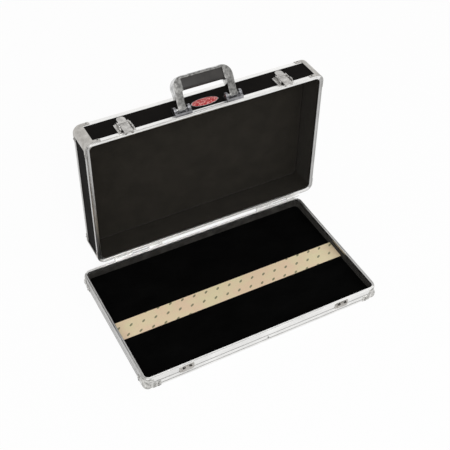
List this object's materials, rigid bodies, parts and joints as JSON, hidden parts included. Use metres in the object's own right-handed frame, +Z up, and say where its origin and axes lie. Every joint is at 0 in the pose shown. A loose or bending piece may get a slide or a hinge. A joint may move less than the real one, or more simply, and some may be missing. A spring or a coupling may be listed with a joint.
{
  "type": "guitar pedal case",
  "caption": "Shallow carrying case with a padded tray, a lift-off hinged lid, draw latches, capped corners and a folding handle.",
  "frame": {"origin": "middle of the tray's underside, on the surface that the case lies on", "axes": "+X to the right along the width, -Y towards the front where the latches close, +Z up out of the tray"},
  "size_m": [0.6149, 0.4254, 0.448],
  "materials": {
    "frame_aluminium": "satin extruded",
    "corner_steel": "dull plated",
    "plated_steel": "nickel plated",
    "cast_chrome": "polished chrome",
    "black_laminate": "fine grain laminate",
    "lid_lining": "short pile over foam",
    "tray_lining": "short pile over board",
    "foam": "plain foam",
    "velour": "loop velour",
    "hook_tape": "hook tape",
    "release_paper": "waxed paper with small dashes",
    "grip_vinyl": "moulded vinyl"
  },
  "bodies": {
    "tray": {"tray_rail_front": "frame_aluminium", "tray_rail_back": "frame_aluminium", "tray_rail_left": "frame_aluminium", "tray_rail_right": "frame_aluminium", "tray_bottom_panel": "black_laminate", "tray_wall_lining": "tray_lining", "floor_foam": "foam", "floor_velour": "velour", "hook_strip": "hook_tape", "strip_liner": "release_paper", "tray_corners": "corner_steel", "catch_plate_left": "plated_steel", "catch_plate_right": "plated_steel", "tray_hinge_leaf_left": "plated_steel", "tray_hinge_leaf_right": "plated_steel"},
    "hinge_pins": {"hinge_pin_left": "plated_steel", "hinge_pin_right": "plated_steel"},
    "lid": {"lid_rim_front": "frame_aluminium", "lid_rim_back": "frame_aluminium", "lid_rim_left": "frame_aluminium", "lid_rim_right": "frame_aluminium", "lid_edge_front": "frame_aluminium", "lid_edge_back": "frame_aluminium", "lid_edge_left": "frame_aluminium", "lid_edge_right": "frame_aluminium", "lid_wall_front": "black_laminate", "lid_wall_back": "black_laminate", "lid_wall_left": "black_laminate", "lid_wall_right": "black_laminate", "lid_top_panel": "black_laminate", "lid_wall_lining": "lid_lining", "lid_top_lining": "lid_lining", "lid_corners": "corner_steel", "lid_hinge_leaf_left": "plated_steel", "lid_hinge_leaf_right": "plated_steel", "latch_plate_left": "plated_steel", "latch_plate_right": "plated_steel", "handle_bracket_left": "plated_steel", "handle_bracket_right": "plated_steel", "handle_pin_left": "plated_steel", "handle_pin_right": "plated_steel"},
    "lever_left": {"latch_lever_left": "plated_steel", "latch_claw_pin_left": "plated_steel"},
    "claw_left": {"latch_claw_left": "plated_steel"},
    "lever_right": {"latch_lever_right": "plated_steel", "latch_claw_pin_right": "plated_steel"},
    "claw_right": {"latch_claw_right": "plated_steel"},
    "handle": {"handle_bow": "cast_chrome", "handle_grip": "grip_vinyl"}
  },
  "joints": [
    {"name": "lid_hinge", "type": "hinge", "parent": "tray", "child": "hinge_pins", "pos_m": [0, 0.175, 0.036], "axis": [-1, 0, 0], "range_deg": [-90, 0]},
    {"name": "lid_slide", "type": "slide", "parent": "hinge_pins", "child": "lid", "axis": [1, 0, 0], "range_m": [-0.042, 0]},
    {"name": "latch_left", "type": "hinge", "parent": "lid", "child": "lever_left", "pos_m": [-0.148, 0.1844, 0.3885], "axis": [1, 0, 0], "range_deg": [0, 95]},
    {"name": "latch_claw_left", "type": "hinge", "parent": "lever_left", "child": "claw_left", "pos_m": [-0.148, 0.1954, 0.387], "axis": [1, 0, 0], "range_deg": [-95, 0]},
    {"name": "latch_right", "type": "hinge", "parent": "lid", "child": "lever_right", "pos_m": [0.232, 0.1844, 0.3885], "axis": [1, 0, 0], "range_deg": [0, 95]},
    {"name": "latch_claw_right", "type": "hinge", "parent": "lever_right", "child": "claw_right", "pos_m": [0.232, 0.1954, 0.387], "axis": [1, 0, 0], "range_deg": [-95, 0]},
    {"name": "handle_pivot", "type": "hinge", "parent": "lid", "child": "handle", "pos_m": [0.042, 0.1894, 0.39], "axis": [1, 0, 0], "range_deg": [-44, 98]}
  ],
  "couplings": [
    {"joint": "latch_claw_left", "follows": "latch_left", "ratio": -1},
    {"joint": "latch_claw_right", "follows": "latch_right", "ratio": -1}
  ]
}
